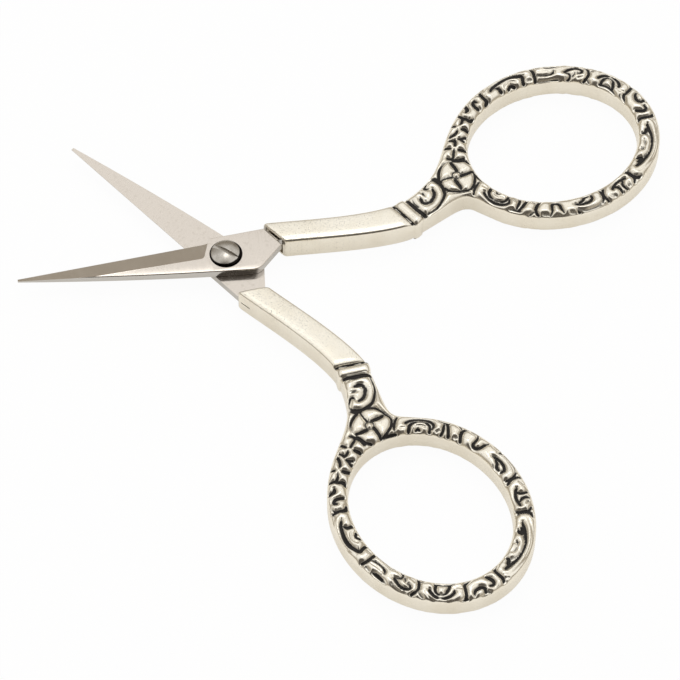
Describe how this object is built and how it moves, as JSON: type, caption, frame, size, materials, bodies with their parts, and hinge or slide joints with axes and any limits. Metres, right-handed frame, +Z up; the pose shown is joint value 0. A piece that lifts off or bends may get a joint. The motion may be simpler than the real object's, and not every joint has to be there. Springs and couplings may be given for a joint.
{
  "type": "embroidery scissors",
  "caption": "Small embroidery scissors: slim steel blades on a slotted pivot screw, with hollow silver handles ending in oval finger rings.",
  "frame": {"origin": "middle of the underside of the box round the scissors as they lie open", "axes": "+X from the tips to the finger rings, midway between the two halves; +Z up, along the pivot screw towards its head; +Y towards the front half's ring"},
  "size_m": [0.0874, 0.0994, 0.0048],
  "materials": {
    "blade_steel": "polished and fine ground",
    "screw_steel": "turned and burnished",
    "handle_silver": "polished silver with a dark patina in the relief",
    "tang_cement": "dull"
  },
  "bodies": {
    "rear_half": {"rear_blade": "blade_steel", "rear_handle_obverse_shell": "handle_silver", "rear_handle_reverse_shell": "handle_silver", "rear_tang_cement": "tang_cement", "pivot_screw": "screw_steel"},
    "front_half": {"front_blade": "blade_steel", "front_handle_obverse_shell": "handle_silver", "front_handle_reverse_shell": "handle_silver", "front_tang_cement": "tang_cement"}
  },
  "joints": [
    {"name": "pivot", "type": "hinge", "parent": "rear_half", "child": "front_half", "pos_m": [-0.01456, 0, 0.0024], "axis": [0, 0, 1], "range_deg": [-47.4, 74]}
  ]
}
